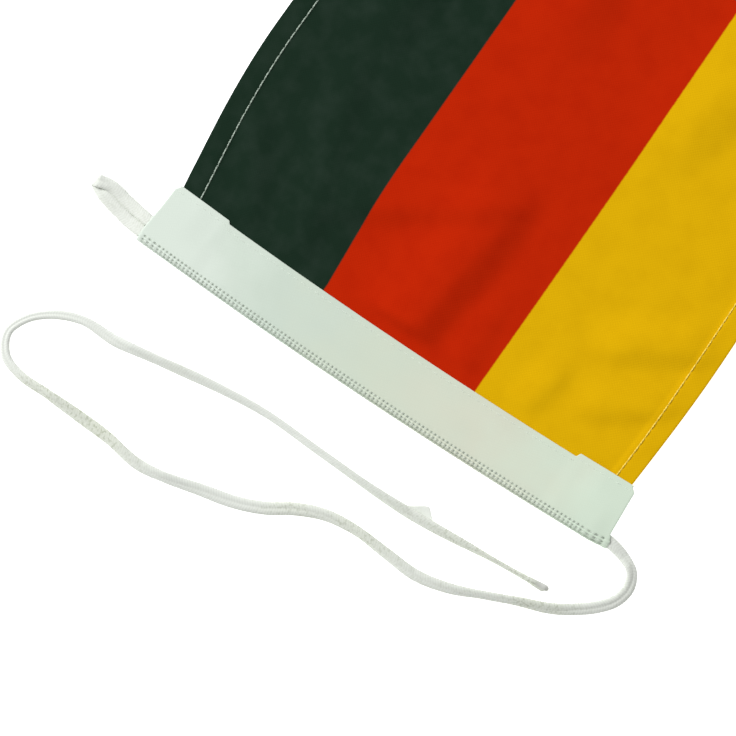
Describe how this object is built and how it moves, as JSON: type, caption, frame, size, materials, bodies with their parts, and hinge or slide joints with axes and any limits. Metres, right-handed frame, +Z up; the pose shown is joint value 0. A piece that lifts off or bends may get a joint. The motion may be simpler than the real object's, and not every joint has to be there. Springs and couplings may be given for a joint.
{
  "type": "national flag",
  "caption": "Small hemmed national flag of black, red and gold stripes with a folded white heading, a sewn-in braided hoist cord, a top loop and a free cord tail.",
  "frame": {"origin": "middle of the underside of the cloth, heading and sewn-in cord, on the surface the flag lies on; the free tail isn't counted", "axes": "+X along the fly, from the heading to the fly hem; +Y up the hoist, from the gold edge to the black edge and the loop; +Z up from the surface, out of the face of the flag"},
  "size_m": [0.3684, 0.2496, 0.0048],
  "materials": {
    "cloth": "matt printed woven cloth with three stripes, black, red and gold",
    "heading": "matt white woven tape",
    "cord": "white flat braided cord"
  },
  "bodies": {
    "root": {"flag_cloth": "cloth", "heading": "heading", "hoist_cord": "cord", "tail_cord": "cord"}
  },
  "joints": []
}
